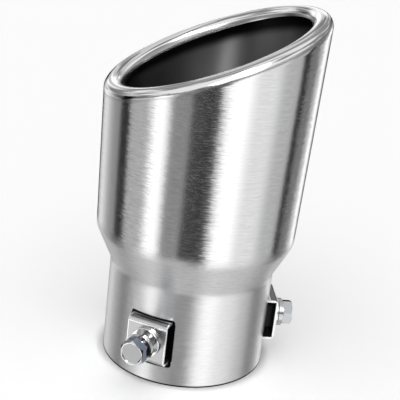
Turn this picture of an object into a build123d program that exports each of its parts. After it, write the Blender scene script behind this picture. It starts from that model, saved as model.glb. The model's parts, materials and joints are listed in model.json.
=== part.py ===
"""Clamp-on exhaust tip: a slash-cut steel tube with a rolled lip and three screw bridges."""
import os
from math import cos, radians, sin, tan

from build123d import *

os.makedirs("parts", exist_ok=True)

# The steel sheet that the whole shell is formed from
sheet = 1.0

# Neck: slides over the tail pipe and stands on its cut end
neck_bore_r = 31.5
neck_height = 39.8

# Cone between neck and body, and the flared body
cone_height = 13.9
body_r = 39.1
flare_deg = 1.56
bend_r = 5.0

# Slash-cut mouth: the lip is rolled inwards along the slanted cut
mouth_height = 123.4
slash_deg = 23.5
roll_r = 3.8
lip_tuck = 0.4
roll_crown = 0.05

# Bridges: square straps pressed out of the neck wall, with a gap round each strap
bridge_width = 16.2
bridge_length = 17.4
bridge_bottom = 9.6
bridge_rise = 3.4
bridge_bend_r = 1.8
gap_side = 1.1
gap_above = 1.0
gap_below = 2.0
gap_corner_r = 1.2
gap_depth = 0.6

# Screw set: M6 screw, thin flat washer, spring washer, thin square nut
thread_r = 3.0
pitch = 1.0
screw_play = 0.05
screw_length = 12.0
hole_play = 0.3
head_across_flats = 9.2
head_height = 4.0
head_face_r = 4.5
head_dish_r = 3.7
head_dish_slope_r = 4.1
head_dish_depth = 0.3
washer_face = 0.25
flat_washer_r = 6.0
flat_washer_thick = 1.2
washer_play = 0.2
spring_wire = 1.6
spring_width = 2.5
spring_play = 0.1
spring_free_lift = 1.2
spring_closed_lift = 0.3
spring_gap_deg = 14
spring_gap_at = 75
nut_side = 10.0
nut_thick = 3.2
seat_gap = 0.02

# Each screw: angle round the tip, how far it is backed out, turn of its head
screws = {
    1: {"angle": -121, "backed_out": 4.1, "turn": 31},
    2: {"angle": -1, "backed_out": 0.0, "turn": 40},
    3: {"angle": 119, "backed_out": 0.0, "turn": 14},
}

# Places that follow from the sizes above
neck_r = neck_bore_r + sheet
cone_top = neck_height + cone_height
flare = tan(radians(flare_deg))
slash = tan(radians(slash_deg))
blank_top = mouth_height + 2 * slash * body_r
core_bottom = cone_top + 2 * bend_r
face_r = neck_r + bridge_rise
bridge_top = bridge_bottom + bridge_length
block_foot_r = neck_bore_r - 2 * sheet
screw_z = (bridge_bottom + bridge_top) / 2
shank_r = thread_r - screw_play


def flared_r(z):
    """Outer radius of the flared body at height z."""
    return body_r + flare * (z - cone_top)


def slanted(height, slope):
    """Plane that crosses the axis at height and climbs towards the tall side."""
    return Plane(origin=(0, 0, height), x_dir=(0, 1, 0), z_dir=(-slope, 0, 1))


def flared_core(inset, top):
    """Round core inside the body, inset from its outside, from core_bottom up to top."""
    core = Cone(
        flared_r(core_bottom) - inset,
        flared_r(top) - inset,
        top - core_bottom,
        align=(Align.CENTER, Align.CENTER, Align.MIN),
        mode=Mode.PRIVATE,
    )
    return Location((0, 0, core_bottom)) * core


def tip_form(inset, base):
    """The tip's outside, filled in and drawn in by inset, with a full-round rim at the mouth."""
    round_r = roll_r - inset
    with BuildPart() as form:
        with BuildSketch(Plane.XZ):
            with BuildLine():
                Polyline(
                    (-inset, base),
                    (neck_r, base),
                    (neck_r, neck_height),
                    (body_r, cone_top),
                    (flared_r(blank_top), blank_top),
                    (-inset, blank_top),
                    close=True,
                )
            make_face()
            bends = vertices().filter_by_position(Axis.Y, neck_height - 1, cone_top + 1)
            fillet(bends, bend_r)
            if inset:
                offset(amount=-inset)
        revolve(axis=Axis.Z)
        mouth_cut = slanted(mouth_height, slash).offset(round_r)
        split(bisect_by=mouth_cut, keep=Keep.BOTTOM)
        rim = faces().filter_by(GeomType.PLANE).sort_by(Axis.Z)[-1]
        fillet(rim.outer_wire().edges(), round_r)
        add(flared_core(2 * roll_r - inset, blank_top), mode=Mode.SUBTRACT)
        rim = faces().filter_by(GeomType.PLANE).sort_by(Axis.Z)[-1]
        fillet(rim.inner_wires()[0].edges(), round_r - roll_crown)
    return form.part


def tucked_lip_cut():
    """All that lies inside the roll and below the end of the tucked lip."""
    lip_slope = slash * (body_r - roll_r) / (body_r - 2 * roll_r)
    with BuildPart() as cut:
        add(flared_core(roll_r, blank_top))
        split(bisect_by=slanted(mouth_height - lip_tuck, lip_slope), keep=Keep.BOTTOM)
    return cut.part


def radial_plane(angle):
    """Plane through the axis: x runs out from the axis, y runs up."""
    a = radians(angle)
    return Plane(origin=(0, 0, 0), x_dir=(cos(a), sin(a), 0), z_dir=(sin(a), -cos(a), 0))


def screw_place(angle, out):
    """Location on a screw's axis, out from the tip's axis, with z pointing outwards."""
    a = radians(angle)
    centre = (out * cos(a), out * sin(a), screw_z)
    return Plane(origin=centre, x_dir=(-sin(a), cos(a), 0), z_dir=(cos(a), sin(a), 0)).location


def gap_block(angle, kept_length):
    """Block within the gap's outline, less a strip as wide as the strap and kept_length long."""
    with BuildPart() as block:
        with BuildSketch(screw_place(angle, face_r)):
            with Locations((0, (gap_above - gap_below) / 2)):
                RectangleRounded(
                    bridge_width + 2 * gap_side,
                    bridge_length + gap_above + gap_below,
                    gap_corner_r,
                )
            Rectangle(bridge_width, kept_length, mode=Mode.SUBTRACT)
        extrude(amount=-2 * (face_r - neck_bore_r))
    return block.part


def gap_groove(angle):
    """Groove round a strap, cut part-way into the neck wall."""
    with BuildPart() as groove:
        add(gap_block(angle, bridge_length))
        Cylinder(neck_r - gap_depth, 2 * neck_height, mode=Mode.SUBTRACT)
    return groove.part


with BuildPart() as tip_shell:
    add(tip_form(0, 0))
    add(tip_form(sheet, -10), mode=Mode.SUBTRACT)
    add(tucked_lip_cut(), mode=Mode.SUBTRACT)
    for screw in screws.values():
        # strap: a block with rounded bends, hollowed out from side to side
        with BuildSketch(radial_plane(screw["angle"])):
            with Locations(((block_foot_r + face_r) / 2, screw_z)):
                Rectangle(face_r - block_foot_r, bridge_length)
            fillet(vertices().sort_by(Axis.X)[-2:], bridge_bend_r)
        extrude(amount=bridge_width / 2, both=True)
    for screw in screws.values():
        with BuildSketch(radial_plane(screw["angle"])):
            with Locations(((block_foot_r + face_r - sheet) / 2, screw_z)):
                Rectangle(face_r - sheet - block_foot_r, bridge_length - 2 * sheet)
            fillet(vertices().sort_by(Axis.X)[-2:], bridge_bend_r - sheet)
        extrude(amount=bridge_width / 2, both=True, mode=Mode.SUBTRACT)
        with Locations(screw_place(screw["angle"], face_r)):
            Cylinder(thread_r + hole_play, 3 * sheet, mode=Mode.SUBTRACT)
        # the gap goes right through the wall beside the strap, part-way above and below it
        add(gap_block(screw["angle"], 2 * bridge_length), mode=Mode.SUBTRACT)
        add(gap_groove(screw["angle"]), mode=Mode.SUBTRACT)
    Cylinder(neck_bore_r, 2 * (neck_height - bend_r), mode=Mode.SUBTRACT)
tip_shell.part.label = "tip_shell"
export_step(tip_shell.part, "parts/tip_shell.step")


def hex_screw():
    """Hexagon set screw with its seat at z = 0 and its head towards +z."""
    with BuildPart() as screw:
        with BuildSketch():
            RegularPolygon(head_across_flats / 2, 6, major_radius=False)
        extrude(amount=head_height)
        # the corners are turned off by a cone at each end of the flats
        corner_r = head_across_flats / (2 * cos(radians(30)))
        drop = (corner_r - head_face_r) * tan(radians(30))
        with BuildSketch(Plane.XZ):
            with BuildLine():
                Polyline(
                    (0, 0),
                    (head_face_r, 0),
                    (head_face_r, washer_face),
                    (corner_r, washer_face),
                    (corner_r, head_height - drop),
                    (head_face_r, head_height),
                    (0, head_height),
                    close=True,
                )
            make_face()
        revolve(axis=Axis.Z, mode=Mode.INTERSECT)
        with Locations((0, 0, head_height - head_dish_depth / 2)):
            Cone(head_dish_r, head_dish_slope_r, head_dish_depth, mode=Mode.SUBTRACT)
        with Locations((0, 0, -screw_length)):
            Cylinder(
                shank_r,
                screw_length + head_height / 2,
                align=(Align.CENTER, Align.CENTER, Align.MIN),
            )
        tip_edge = edges().filter_by(GeomType.CIRCLE).sort_by(Axis.Z)[0]
        chamfer(tip_edge, pitch / 2)
    return screw.part


def flat_washer():
    """Flat washer with its back at z = 0."""
    with BuildPart() as washer:
        with BuildSketch():
            Circle(flat_washer_r)
            Circle(thread_r + washer_play, mode=Mode.SUBTRACT)
        extrude(amount=flat_washer_thick)
        chamfer(edges().group_by(Axis.Z)[-1].sort_by(SortBy.LENGTH)[-1], 0.2)
    return washer.part


def spring_washer(lift):
    """Split washer coiled from square wire, climbing by lift, with its back at z = 0."""
    mid_r = thread_r + spring_play + spring_width / 2
    turn = (360 - spring_gap_deg) / 360
    with BuildPart() as washer:
        with BuildLine():
            coil = Helix(lift / turn, lift, mid_r, center=(0, 0, spring_wire / 2), lefthand=True)
        with BuildSketch(Plane(origin=coil @ 0, x_dir=(1, 0, 0), z_dir=coil % 0)):
            Rectangle(spring_width, spring_wire)
        sweep(is_frenet=True)
    return washer.part


def square_nut():
    """Thin square nut with its outer side at z = 0, reaching towards -z."""
    with BuildPart() as nut:
        with Locations((0, 0, -nut_thick)):
            Box(nut_side, nut_side, nut_thick, align=(Align.CENTER, Align.CENTER, Align.MIN))
        chamfer(edges().filter_by(Axis.Z), 0.4)
        Cylinder(thread_r, 3 * nut_thick, mode=Mode.SUBTRACT)
    return nut.part


for number, screw in screws.items():
    loose = screw["backed_out"] > 0
    lift = spring_free_lift if loose else spring_closed_lift
    washer_top = face_r + flat_washer_thick
    closed_seat = washer_top + seat_gap + spring_wire + spring_closed_lift + seat_gap
    seat_r = closed_seat + screw["backed_out"]
    spring_back = seat_r - seat_gap - spring_wire - lift
    pieces = {
        "set_bolt": (hex_screw(), seat_r, screw["turn"]),
        "spring_washer": (spring_washer(lift), spring_back, spring_gap_at),
        "flat_washer": (flat_washer(), face_r, 0),
        "captive_nut": (square_nut(), face_r - sheet, 0),
    }
    for name, (solid, out, turn) in pieces.items():
        with BuildPart(screw_place(screw["angle"], out)) as piece:
            add(solid, rotation=(0, 0, turn))
        piece.part.label = f"{name}_{number}"
        export_step(piece.part, f"parts/{name}_{number}.step")
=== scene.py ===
"""Dresses the exhaust tip: steel finishes, screw threads, studio, floor and camera."""

import json
import math

import bpy
from mathutils import Matrix, Vector


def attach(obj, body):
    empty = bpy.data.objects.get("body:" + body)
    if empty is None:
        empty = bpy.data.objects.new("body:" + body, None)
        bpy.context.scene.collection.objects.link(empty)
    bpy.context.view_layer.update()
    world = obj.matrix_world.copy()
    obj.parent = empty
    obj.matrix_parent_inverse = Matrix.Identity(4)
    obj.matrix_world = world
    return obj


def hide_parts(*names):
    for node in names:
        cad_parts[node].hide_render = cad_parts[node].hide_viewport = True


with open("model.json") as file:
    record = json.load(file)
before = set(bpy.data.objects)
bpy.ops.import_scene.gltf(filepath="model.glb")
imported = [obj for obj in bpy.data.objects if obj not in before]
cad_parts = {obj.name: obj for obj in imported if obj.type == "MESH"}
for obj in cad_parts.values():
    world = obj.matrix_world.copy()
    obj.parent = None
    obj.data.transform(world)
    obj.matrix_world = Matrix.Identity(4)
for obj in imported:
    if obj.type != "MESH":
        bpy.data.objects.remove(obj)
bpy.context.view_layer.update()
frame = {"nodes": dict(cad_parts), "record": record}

# Camera found from the photo's outlines, in metres in the part's frame
CAMERA_AT = (-0.05466, -0.37989, 0.21438)
YAW = 0.194
PITCH = 0.3649
ROLL = -0.1358
LENS_MM = 94.5
SHIFT_X = -0.125
CAMERA_AZIMUTH = -98.19

# Studio: soft boxes and dark cards that stand round the part as upright bands
# name: (azimuth from CAMERA_AZIMUTH, half width, softness, level), angles in degrees
BANDS = {
    "back wall": (180, 62, 14, 0.68),
    "rear left box": (-142, 8, 8, 1.1),
    "left side wall": (-112, 10, 8, 0.38),
    "left wall": (-80, 13, 5, 0.6),
    "dark card left": (-99, 8, 1.5, 0.0),
    "left strip": (-52, 10.5, 8, 1.75),
    "front left grey": (-29, 10, 4, 0.32),
    "front gap": (3, 10, 4, 0.04),
    "dark card front": (-8, 10.5, 4, 0.0),
    "main box spill": (60, 24, 20, 1.15),
    "main box": (30, 14.5, 9, 1.75),
    "right wall": (90, 14, 8, 0.68),
    "dark card right": (107, 6.5, 1.5, 0.0),
    "right grey": (120, 9, 4, 0.24),
    "rear strip": (146, 6.5, 5, 1.65),
    "dark card behind": (180, 22, 2, 0.0),
}
# The same at three heights above the part: just above it, higher up, and overhead
HORIZON = {
    "light behind": (-172, 24, 8, 1.3),
    "light on the left": (-85, 25, 10, 0.7),
}
SKY = {
    "sky behind": (180, 40, 10, 0.6),
    "grey card right": (105, 25, 10, 0.2),
    "grey card left": (-135, 8, 4, 0.25),
}
OVERHEAD = {
    "overhead rear": (180, 35, 15, 0.7),
    "overhead box": (20, 13, 6, 2.4),
    "overhead strip": (-14, 5, 5, 26.0),
}
# Levels between the bands, straight up and straight down
BASE_LEVEL = 0.4
HORIZON_LEVEL = 0.25
SKY_LEVEL = 1.0
OVERHEAD_LEVEL = 0.95
ZENITH_LEVEL = 0.9
GROUND_LEVEL = 0.75
# Where each zone starts and where it is full, by the upward part of the direction
HORIZON_ZONE = (0.03, 0.08)
SKY_ZONE = (0.26, 0.36)
OVERHEAD_ZONE = (0.42, 0.47)
ZENITH_ZONE = (0.9, 0.97)
GROUND_ZONE = (-0.6, -0.85)

# Soft light on the floor, which isn't mirrored in the steel
# name: (direction that it comes from, softness in degrees, strength)
FLOOR_LIGHTS = {
    "top_light": ((-0.05, -0.1, 1.0), 80, 1.58),
    "front_light": ((-0.14, -1.0, 1.0), 60, 0.72),
    "left_light": ((-1.0, -0.6, 1.0), 60, 0.35),
    "right_light": ((1.0, -0.6, 1.0), 60, 0.2),
}
FLOOR_LEVEL = 0.9
# darkest level of the painted contact shadow round the part
PAINTED_CONTACT_SHADOW_LEVEL = 0.5
# Radii from the axis, in metres: where the floor's painted contact shadow is full and where it ends,
# and the black patch under the part, which is painted shade
PAINTED_CONTACT_SHADOW_R = 0.032
PAINTED_CONTACT_SHADOW_END_R = 0.0372
PATCH_R = 0.0322

# Sizes of the tip that the finishes follow, in metres
NECK_R = 0.0325
NECK_TOP = 0.0398
CONE_TOP = 0.0537
BODY_R = 0.0391
FLARE = math.tan(math.radians(1.56))
SHEET = 0.001
MOUTH = 0.1234
SLASH = math.radians(23.5)
ROLL_R = 0.0038
STRAP_ANGLE = -1.0
STRAP_WIDTH = 0.0162
STRAP_BOTTOM = 0.0096
STRAP_TOP = 0.0270
STRAP_FACE = 0.0359
STRAP_ZONE_TOP = 0.0300
GAP_SIDE = 0.0013
GAP_END = 0.0028
# height of the bottom band of the neck that is painted black as contact shadow
CUT_EDGE = 0.0005

# Brushed steel on the body and on the neck: (metallic, roughness, stretch of the highlights)
BODY_BRUSH = (1.0, 0.195, 0.85)
NECK_BRUSH = (0.94, 0.36, 0.55)
CONE_ROUGHNESS = 0.38
BODY_LEVEL = 0.8
NECK_LEVEL = 0.86
BODY_CONTRAST = 0.5
NECK_CONTRAST = 0.35
# how dense the brush marks are in x, y and z, per metre
FINE_MARKS = (420, 420, 2900)
BROAD_MARKS = (120, 120, 2300)
# painted reflections, as darker lines along the roll: (degrees round it from its outer side, half
# width, level)
PAINTED_ROLL_REFLECTIONS = ((10, 9, 0.6), (66, 9, 0.4), (160, 14, 0.4))

# Zinc plate and spring steel: (grey level, share of blue, roughness)
ZINC_FINISHES = {
    "zinc_plate": (0.8, 0.01, 0.12),
    # the head's flats: painted shade, dark and bluish on the first screw, lighter on the other two
    "zinc_flats_painted_dark_shade": (0.17, 0.2, 0.16),
    "zinc_flats_painted_light_shade": (0.62, 0.03, 0.14),
    "zinc_dish": (0.66, 0.0, 0.5),
    # painted shade in the thread's flanks and roots
    "zinc_thread_painted_shade": (0.3, 0.0, 0.25),
    "zinc_spring": (0.6, 0.0, 0.16),
    # painted shade on the captive nuts under the straps
    "zinc_painted_shade": (0.03, 0.0, 0.5),
}

# Places of a screw's materials in its list
PLATE, FLATS, DISH, THREAD = range(4)

# Sizes of the screws, in mm, and how far each head is turned, in degrees
HEAD_FLATS = 9.2
HEAD_HEIGHT = 4.0
HEAD_FACE_R = 4.5
DISH_R = 3.7
DISH_SLOPE_R = 4.1
DISH_DEPTH = 0.3
WASHER_FACE = 0.25
CENTRE_R = 0.01
EDGE = 0.08
THREAD_R = 2.95
THREAD_ROOT_R = 2.42
THREAD_LENGTH = 12.0
THREAD_PITCH = 1.0
HEAD_TURNS = {1: 31, 2: 40, 3: 14}


class Graph:
    """Adds nodes to a shader tree; every input may be a number, a tuple or a socket."""

    def __init__(self, tree):
        self.tree = tree
        tree.nodes.clear()

    def node(self, kind, inputs=None, **settings):
        node = self.tree.nodes.new("ShaderNode" + kind)
        for name, value in settings.items():
            setattr(node, name, value)
        for name, value in (inputs or {}).items():
            if isinstance(value, bpy.types.NodeSocket):
                self.tree.links.new(value, node.inputs[name])
            else:
                node.inputs[name].default_value = value
        return node

    def math(self, operation, *values):
        return self.node("Math", dict(enumerate(values)), operation=operation).outputs[0]

    def vector(self, operation, *values):
        node = self.node("VectorMath", dict(enumerate(values)), operation=operation)
        return node.outputs["Value" if operation == "LENGTH" else "Vector"]

    def mix(self, share, a, b):
        """a at share 0, b at share 1."""
        return self.math("MULTIPLY_ADD", self.math("SUBTRACT", b, a), share, a)

    def step(self, value, start, end):
        """0 at start and 1 at end, with a soft curve between."""
        inputs = {"Value": value, "From Min": start, "From Max": end}
        return self.node("MapRange", inputs, interpolation_type="SMOOTHSTEP").outputs[0]

    def both(self, *masks):
        """Product of masks."""
        product = masks[0]
        for mask in masks[1:]:
            product = self.math("MULTIPLY", product, mask)
        return product

    def below(self, value, limit, soft):
        """1 where value is below limit, 0 above limit + soft."""
        return self.step(value, limit + soft, limit)

    def shade(self, level, blue=1.0):
        """Colour from a level, with its blue part scaled."""
        blue_level = level if blue == 1.0 else self.math("MULTIPLY", level, blue)
        return self.node("CombineColor", {0: level, 1: level, 2: blue_level}).outputs[0]

    def tilt(self, normal, direction, amount):
        """Normal turned a little towards direction."""
        turn = self.node("VectorMath", {0: direction, "Scale": amount}, operation="SCALE")
        return self.vector("NORMALIZE", self.vector("ADD", normal, turn.outputs[0]))

    def noise(self, vector, scale, detail):
        inputs = {"Vector": vector, "Scale": scale, "Detail": detail}
        return self.node("TexNoise", inputs).outputs["Fac"]


def grey(level, blue=0.0):
    """Opaque colour near to grey."""
    return (level * (1 - blue), level * (1 - blue / 3), level * (1 + blue), 1)


def build_world():
    """The studio round the part, as light levels by direction."""
    world = bpy.data.worlds.new("studio")
    bpy.context.scene.world = world
    world.use_nodes = True
    g = Graph(world.node_tree)
    direction = g.node("TexCoord").outputs["Generated"]
    x, y, z = g.node("SeparateXYZ", {0: direction}).outputs
    azimuth = g.math("MULTIPLY", g.math("ARCTAN2", y, x), 180 / math.pi)
    azimuth = g.math("SUBTRACT", azimuth, CAMERA_AZIMUTH)

    def banded(level, bands):
        for centre, half, soft, strength in bands.values():
            away = g.math("WRAP", g.math("SUBTRACT", azimuth, centre), -180.0, 180.0)
            share = g.step(g.math("ABSOLUTE", away), half + soft, half - soft)
            level = g.mix(share, level, strength)
        return level

    level = banded(BASE_LEVEL, BANDS)
    for zone, zone_level in (
        (HORIZON_ZONE, banded(HORIZON_LEVEL, HORIZON)),
        (SKY_ZONE, banded(SKY_LEVEL, SKY)),
        (OVERHEAD_ZONE, banded(OVERHEAD_LEVEL, OVERHEAD)),
        (ZENITH_ZONE, ZENITH_LEVEL),
        (GROUND_ZONE, GROUND_LEVEL),
    ):
        level = g.mix(g.step(z, *zone), level, zone_level)
    light = g.node("Background", {"Strength": level})
    g.node("OutputWorld", {0: light.outputs[0]})
    world.cycles_visibility.diffuse = False


def new_material(name):
    """An empty material and its graph."""
    material = bpy.data.materials.new(name)
    material.use_nodes = True
    return material, Graph(material.node_tree)


def tube_depth(g, r, z):
    """How deep a point lies inside the plain tube's outside at its height."""
    cone = {"Value": z, "From Min": NECK_TOP, "From Max": CONE_TOP, "To Min": NECK_R, "To Max": BODY_R}
    cone_r = g.node("MapRange", cone).outputs[0]
    above = g.math("MAXIMUM", g.math("SUBTRACT", z, CONE_TOP), 0)
    outer_r = g.math("ADD", cone_r, g.math("MULTIPLY", above, FLARE))
    return g.math("SUBTRACT", outer_r, r)


def strap_masks(g, x, y, z, r, depth):
    """Masks of the nearest strap and of the gaps round it and the hollow under it, where shade is
    painted, and the place across the strap.
    """
    angle = g.math("SUBTRACT", g.math("ARCTAN2", y, x), math.radians(STRAP_ANGLE))
    angle = g.math("WRAP", angle, -math.pi / 3, math.pi / 3)
    out = g.math("MULTIPLY", r, g.math("COSINE", angle))
    side = g.math("ABSOLUTE", g.math("MULTIPLY", r, g.math("SINE", angle)))
    reach = (STRAP_TOP - STRAP_BOTTOM) / 2
    up_down = g.math("ABSOLUTE", g.math("SUBTRACT", z, STRAP_BOTTOM + reach))
    low_down = g.below(z, STRAP_ZONE_TOP, 0.0005)
    in_gap = g.below(side, STRAP_WIDTH / 2 + GAP_SIDE, 0.0001)
    # painted shade: the slot faces round the strap and the hollow under it are painted near black
    groove = g.both(
        g.step(depth, 0.0001, 0.0002),
        g.below(up_down, reach + GAP_END, 0.0002),
        in_gap,
    )
    hollow = g.both(
        g.below(out, STRAP_FACE - SHEET + 0.0001, 0.0001),
        g.below(up_down, reach - SHEET + 0.0001, 0.0001),
        low_down,
        in_gap,
    )
    strap = g.both(
        g.step(out, NECK_R + 0.0001, NECK_R + 0.0003),
        low_down,
        g.below(side, STRAP_WIDTH / 2 + 0.0002, 0.0001),
    )
    return strap, g.math("MAXIMUM", groove, hollow), side


def brushed_steel(g, at, z, normal, around, tangent):
    """Steel with long thin brush marks round the tube, which turn the normal sideways a little."""
    neck = g.below(z, NECK_TOP - 0.002, 0.004)
    cone = g.both(g.step(z, NECK_TOP - 0.003, NECK_TOP + 0.001), g.below(z, CONE_TOP, 0.005))
    fine = g.noise(g.vector("MULTIPLY", at, FINE_MARKS), 1.0, 3.0)
    broad = g.noise(g.vector("MULTIPLY", at, BROAD_MARKS), 1.0, 3.0)
    streaks = g.math("ADD", g.math("MULTIPLY", fine, 0.6), g.math("MULTIPLY", broad, 0.4))
    streaks = g.math("SUBTRACT", streaks, 0.5)
    brushed_normal = g.tilt(normal, around, g.math("MULTIPLY", streaks, 0.14))
    haze = g.math("MULTIPLY", g.step(fine, 0.45, 0.62), 0.06)
    contrast = g.mix(neck, BODY_CONTRAST, NECK_CONTRAST)
    tone = g.math("MULTIPLY_ADD", streaks, contrast, g.mix(neck, BODY_LEVEL, NECK_LEVEL))
    colour = g.shade(tone, 1.01)
    looks = []
    for metallic, roughness, stretch in (BODY_BRUSH, NECK_BRUSH):
        looks.append(g.node("BsdfPrincipled", {
            "Base Color": colour,
            "Metallic": g.math("SUBTRACT", metallic, haze),
            "Roughness": g.mix(cone, roughness, CONE_ROUGHNESS),
            "Anisotropic": stretch,
            "Anisotropic Rotation": 0.25,
            "Tangent": tangent,
            "Normal": brushed_normal,
        }).outputs[0])
    return g.node("MixShader", {0: neck, 1: looks[0], 2: looks[1]}).outputs[0]


def polished_steel(g, x, y, lift, depth, normal, around):
    """Polished steel, with marks along the roll that turn the normal up and down a little and vary its
    tone, and painted reflections as darker lines along it.
    """
    round_roll = g.math("ARCTAN2", lift, g.math("SUBTRACT", ROLL_R, depth))
    along = g.node("CombineXYZ", {0: x, 1: y, 2: g.math("MULTIPLY", round_roll, 0.075)}).outputs[0]
    marks = g.noise(along, 38.0, 2.0)
    ripple = g.math("MULTIPLY", g.math("SUBTRACT", marks, 0.5), 0.5)
    tone_and_painted_reflections = g.mix(g.step(marks, 0.4, 0.5), 0.3, 1.0)
    # painted reflections: darker lines at fixed places round the roll; the marks above vary the tone
    # at random
    for centre, half, least in PAINTED_ROLL_REFLECTIONS:
        away = g.math("ABSOLUTE", g.math("SUBTRACT", round_roll, math.radians(centre)))
        line = g.step(away, math.radians(half), math.radians(half / 3))
        tone_and_painted_reflections = g.mix(line, tone_and_painted_reflections, least)
    # the roll is less polished where it meets the tube, outside and inside
    outer_end = g.step(round_roll, 0.6, 0.0)
    inner_end = g.step(round_roll, 2.3, 2.8)
    return g.node("BsdfPrincipled", {
        "Base Color": g.shade(tone_and_painted_reflections),
        "Metallic": 1.0,
        "Roughness": g.mix(g.math("MAXIMUM", outer_end, inner_end), 0.11, 0.28),
        "Normal": g.tilt(normal, g.vector("CROSS_PRODUCT", normal, around), ripple),
    }).outputs[0]


def strap_steel(g, z, side):
    """Satin steel with painted highlights on the strap's bend and side edges and painted shade on its
    top end.
    """
    top_end = g.step(z, STRAP_TOP - 0.0005, STRAP_TOP - 0.0001)
    bend = g.both(
        g.step(z, STRAP_TOP - 0.0021, STRAP_TOP - 0.0015),
        g.below(z, STRAP_TOP - 0.0011, 0.0005),
    )
    side_edge = g.step(side, STRAP_WIDTH / 2 - 0.0005, STRAP_WIDTH / 2 - 0.0002)
    # painted highlight on the bend and side edges, painted shade on the top end
    painted_highlights_and_shade = g.mix(bend, g.mix(top_end, 0.52, 0.2), 0.95)
    painted_highlights_and_shade = g.mix(side_edge, painted_highlights_and_shade, 0.95)
    satin = {"Base Color": g.shade(painted_highlights_and_shade), "Metallic": 0.95, "Roughness": 0.24}
    return g.node("BsdfPrincipled", satin).outputs[0]


def inner_steel(g, lift, tangent):
    """Dull steel inside the tube, with a painted shadow, nearly black, just under the lip."""
    # painted shadow under the lip: nearly black up to 4 mm below the mouth, fading out by 8 mm
    level = g.mix(g.step(lift, -0.008, -0.004), 0.185, 0.015)
    return g.node("BsdfPrincipled", {
        "Base Color": g.shade(level),
        "Metallic": 1.0,
        "Roughness": 0.42,
        "Anisotropic": 0.9,
        "Anisotropic Rotation": 0.25,
        "Tangent": tangent,
    }).outputs[0]


def shell_steel():
    """Steel brushed round the tube, polished on the rolled lip and dark on the inside, with painted
    light and shade on the straps, round them, under the lip and along the bottom edge.
    """
    material, g = new_material("sheet_steel")
    at = g.node("TexCoord").outputs["Object"]
    x, y, z = g.node("SeparateXYZ", {0: at}).outputs
    r = g.math("SQRT", g.math("ADD", g.math("MULTIPLY", x, x), g.math("MULTIPLY", y, y)))
    normal = g.node("NewGeometry").outputs["Normal"]
    tangent = g.node("Tangent", direction_type="RADIAL", axis="Z").outputs[0]
    ahead = {0: g.math("DIVIDE", g.math("MULTIPLY", y, -1), r), 1: g.math("DIVIDE", x, r), 2: 0.0}
    around = g.node("CombineXYZ", ahead).outputs[0]
    # height over the slanted plane of the mouth
    lift = g.math("MULTIPLY_ADD", x, -math.tan(SLASH), g.math("SUBTRACT", z, MOUTH))
    lift = g.math("MULTIPLY", lift, math.cos(SLASH))
    depth = tube_depth(g, r, z)

    rolled = g.step(lift, -0.0002, 0.0014)
    inside = g.both(g.step(depth, 0.0003, 0.0006), g.step(lift, 0.0, -0.0004))
    strap, gaps, side = strap_masks(g, x, y, z, r, depth)
    # painted shade: near black in the gaps round the straps, in the hollow under them and on the
    # bottom edge of the neck
    black = g.math("MAXIMUM", gaps, g.below(z, CUT_EDGE, 0.0002))
    painted_shade_black = {"Base Color": grey(0.01), "Metallic": 0.0, "Roughness": 0.6, "Specular IOR Level": 0.1}

    look = brushed_steel(g, at, z, normal, around, tangent)
    for share, shader in (
        (rolled, polished_steel(g, x, y, lift, depth, normal, around)),
        (strap, strap_steel(g, z, side)),
        (inside, inner_steel(g, lift, tangent)),
        (black, g.node("BsdfPrincipled", painted_shade_black).outputs[0]),
    ):
        look = g.node("MixShader", {0: share, 1: look, 2: shader}).outputs[0]
    g.node("OutputMaterial", {0: look})
    return material


def zinc_plate(name, level, blue, roughness):
    """Bright zinc plate, a little cloudy."""
    material, g = new_material(name)
    at = g.node("TexCoord").outputs["Object"]
    cloud = g.noise(at, 400.0, 1.0)
    rough = g.math("MULTIPLY_ADD", g.math("SUBTRACT", cloud, 0.5), 0.04, roughness)
    plate = {"Base Color": grey(level, blue), "Metallic": 1.0, "Roughness": rough}
    shader = g.node("BsdfPrincipled", plate)
    g.node("OutputMaterial", {0: shader.outputs[0]})
    return material


def new_mesh(name, points, faces, materials, places=None):
    """Object from points in mm, with flat shading only across sharp edges."""
    mesh = bpy.data.meshes.new(name)
    mesh.from_pydata([Vector(point) / 1000 for point in points], [], faces)
    for material in materials:
        mesh.materials.append(material)
    for face, place in zip(mesh.polygons, places or []):
        face.material_index = place
    mesh.validate()
    mesh.shade_smooth()
    mesh.set_sharp_from_angle(angle=math.radians(25))
    piece = bpy.data.objects.new(name, mesh)
    bpy.context.collection.objects.link(piece)
    return piece


def head_rows(angle):
    """Outline of a bolt head at this angle round its axis: (radius, height) pairs in mm."""
    flat_r = HEAD_FLATS / 2 / math.cos(angle % (math.pi / 3) - math.pi / 6)
    drop = max(flat_r - HEAD_FACE_R, 0) * math.tan(math.radians(30))
    dish_floor = HEAD_HEIGHT - DISH_DEPTH
    return [
        (CENTRE_R, dish_floor),
        (DISH_R, dish_floor),
        (DISH_SLOPE_R, HEAD_HEIGHT - 0.05),
        (DISH_SLOPE_R + EDGE, HEAD_HEIGHT),
        (HEAD_FACE_R - EDGE, HEAD_HEIGHT),
        (flat_r, HEAD_HEIGHT - drop - 0.02),
        (flat_r, WASHER_FACE),
        (HEAD_FACE_R, WASHER_FACE),
        (HEAD_FACE_R, 0),
        (CENTRE_R, 0),
    ]


def bolt_head(points, faces, places):
    """Adds a hexagon head, with its own materials on the flats and in the dish."""
    steps = 120
    row_places = {0: DISH, 5: FLATS}
    start = len(points)
    rows = len(head_rows(0))
    for i in range(steps):
        angle = math.tau * i / steps
        for radius, height in head_rows(angle):
            points.append((radius * math.cos(angle), radius * math.sin(angle), height))
    for i in range(steps):
        for row in range(rows - 1):
            here = start + i * rows + row
            there = start + (i + 1) % steps * rows + row
            faces.append((here, here + 1, there + 1, there))
            places.append(row_places.get(row, PLATE))


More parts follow.
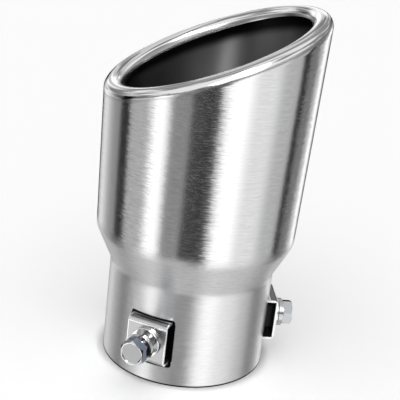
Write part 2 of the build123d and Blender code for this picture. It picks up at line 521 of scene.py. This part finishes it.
def bolt_thread(points, faces, places):
    """Adds the screw thread, as rows that climb with the helix and are clipped at both ends."""
    steps = 48
    # (share of the pitch, radius), with the crest from the second pair to the third
    profile = ((0.06, THREAD_ROOT_R), (0.44, THREAD_R), (0.56, THREAD_R), (0.94, THREAD_ROOT_R))
    crest_row = 1
    turns = round(THREAD_LENGTH / THREAD_PITCH) + 2
    start = len(points)
    heights = []
    for row in range(turns * len(profile)):
        share, radius = profile[row % len(profile)]
        for i in range(steps):
            angle = math.tau * i / steps
            height = -THREAD_LENGTH + THREAD_PITCH * (row // len(profile) + share + i / steps - 1)
            height = min(max(height, -THREAD_LENGTH), 0.0)
            end_r = THREAD_R - max(THREAD_PITCH / 2 - THREAD_LENGTH - height, 0)
            r = min(radius, end_r)
            points.append((r * math.cos(angle), r * math.sin(angle), height))
            heights.append(height)
    for row in range((turns - 1) * len(profile) - 1):
        for i in range(steps):
            here = row * steps + i
            there = here + 1 if i + 1 < steps else (row + len(profile)) * steps
            corners = (here, there, there + steps, here + steps)
            if len({heights[corner] for corner in corners}) > 1:
                faces.append(tuple(start + corner for corner in corners))
                # the crest keeps the bright plate; the flanks and roots get painted shade
                places.append(PLATE if row % len(profile) == crest_row else THREAD)
    end = len(points)
    for i in range(steps):
        angle = math.tau * i / steps
        x, y = THREAD_ROOT_R * math.cos(angle), -THREAD_ROOT_R * math.sin(angle)
        points.append((x, y, -THREAD_LENGTH))
    faces.append(tuple(range(end, end + steps)))
    places.append(THREAD)


def build_bolt(number, materials):
    """Set screw with its thread, in place of the CAD screw with a plain shank."""
    joints = {joint["name"]: joint for joint in frame["record"]["behaviour"]["joints"]}
    joint = joints[f"turn_{number}"]
    points, faces, places = [], [], []
    bolt_head(points, faces, places)
    bolt_thread(points, faces, places)
    out = Vector(joint["axis"])
    side = Vector((-out.y, out.x, 0))
    turn = math.radians(HEAD_TURNS[number])
    x_axis = math.cos(turn) * side + math.sin(turn) * Vector((0, 0, 1))
    axes = Matrix((x_axis, out.cross(x_axis), out)).transposed()
    seat = Vector(joint["pos_m"]) * 1000
    points = [seat + axes @ Vector(point) for point in points]
    bolt = new_mesh(f"bolt_{number}", points, faces, materials, places)
    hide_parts(f"set_bolt_{number}")
    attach(bolt, f"screw_{number}")


def build_floor():
    """Pale floor, seen by the camera and by soft light but not mirrored in the steel."""
    half = 6.0
    mesh = bpy.data.meshes.new("floor")
    corners = [(-half, -half, 0), (half, -half, 0), (half, half, 0), (-half, half, 0)]
    mesh.from_pydata(corners, [], [(0, 1, 2, 3)])
    floor = bpy.data.objects.new("floor", mesh)
    bpy.context.collection.objects.link(floor)
    material, g = new_material("floor")
    # painted contact shadow: the floor is darker where it meets the part
    away = g.vector("LENGTH", g.node("TexCoord").outputs["Object"])
    level = g.shade(g.mix(g.step(away, PAINTED_CONTACT_SHADOW_END_R, PAINTED_CONTACT_SHADOW_R), FLOOR_LEVEL, PAINTED_CONTACT_SHADOW_LEVEL))
    shader = g.node("BsdfPrincipled", {
        "Base Color": level,
        "Roughness": 1.0,
        "Specular IOR Level": 0.0,
        "Emission Color": level,
        "Emission Strength": 0.3,
    })
    g.node("OutputMaterial", {0: shader.outputs[0]})
    mesh.materials.append(material)
    floor.visible_glossy = False

    # the patch under the part is painted shade, near black; it is mirrored, so that no light comes up
    # through it
    steps = 64
    turns = [i * math.tau / steps for i in range(steps)]
    ring = [(PATCH_R * math.cos(turn), PATCH_R * math.sin(turn), 0.00002) for turn in turns]
    patch_mesh = bpy.data.meshes.new("floor_patch")
    patch_mesh.from_pydata(ring, [], [tuple(range(steps))])
    black, g = new_material("floor_painted_shade")
    shade = {"Base Color": grey(0.01), "Roughness": 1.0, "Specular IOR Level": 0.0}
    g.node("OutputMaterial", {0: g.node("BsdfPrincipled", shade).outputs[0]})
    patch_mesh.materials.append(black)
    patch = bpy.data.objects.new("floor_patch", patch_mesh)
    bpy.context.collection.objects.link(patch)


def build_floor_lights():
    """Soft lights for the floor that aren't mirrored in the steel."""
    for name, (direction, softness, strength) in FLOOR_LIGHTS.items():
        data = bpy.data.lights.new(name, "SUN")
        data.angle = math.radians(softness)
        data.energy = strength
        light = bpy.data.objects.new(name, data)
        light.matrix_world = Vector(direction).to_track_quat("Z", "Y").to_matrix().to_4x4()
        light.visible_glossy = False
        bpy.context.collection.objects.link(light)


def build_camera():
    """Camera with the photo's place, direction, roll and frame."""
    right = Vector((math.cos(YAW), -math.sin(YAW), 0))
    ahead = Vector((math.sin(YAW), math.cos(YAW), 0))
    forward = math.cos(PITCH) * ahead - math.sin(PITCH) * Vector((0, 0, 1))
    down = forward.cross(right)
    image_x = math.cos(ROLL) * right + math.sin(ROLL) * down
    image_y = -math.sin(ROLL) * right + math.cos(ROLL) * down
    turn = Matrix((image_x, -image_y, -forward)).transposed()
    data = bpy.data.cameras.new("camera")
    data.lens = LENS_MM
    data.sensor_width = 36
    data.shift_x = SHIFT_X
    data.clip_start = 0.01
    data.clip_end = 50
    camera = bpy.data.objects.new("camera", data)
    camera.matrix_world = Matrix.Translation(CAMERA_AT) @ turn.to_4x4()
    bpy.context.collection.objects.link(camera)
    bpy.context.scene.camera = camera


def dress_part():
    """Gives every node its finish and sets the threaded screws in place."""
    zinc = {name: zinc_plate(name, *values) for name, values in ZINC_FINISHES.items()}
    finishes = {
        "tip_shell": shell_steel(),
        # the captive nuts are painted near black as shade
        "captive_nut": zinc["zinc_painted_shade"],
        "spring_washer": zinc["zinc_spring"],
    }
    for name, node in frame["nodes"].items():
        material = finishes.get(name.rstrip("_123"), zinc["zinc_plate"])
        for index in range(len(node.data.materials)):
            node.data.materials[index] = material
    for number in HEAD_TURNS:
        # painted shade on the flats: darker on the first screw than on the other two
        flats = zinc["zinc_flats_painted_dark_shade" if number == 1 else "zinc_flats_painted_light_shade"]
        build_bolt(number, (zinc["zinc_plate"], flats, zinc["zinc_dish"], zinc["zinc_thread_painted_shade"]))


dress_part()
build_world()
build_floor()
build_floor_lights()
build_camera()
bpy.context.scene.view_settings.view_transform = "Standard"
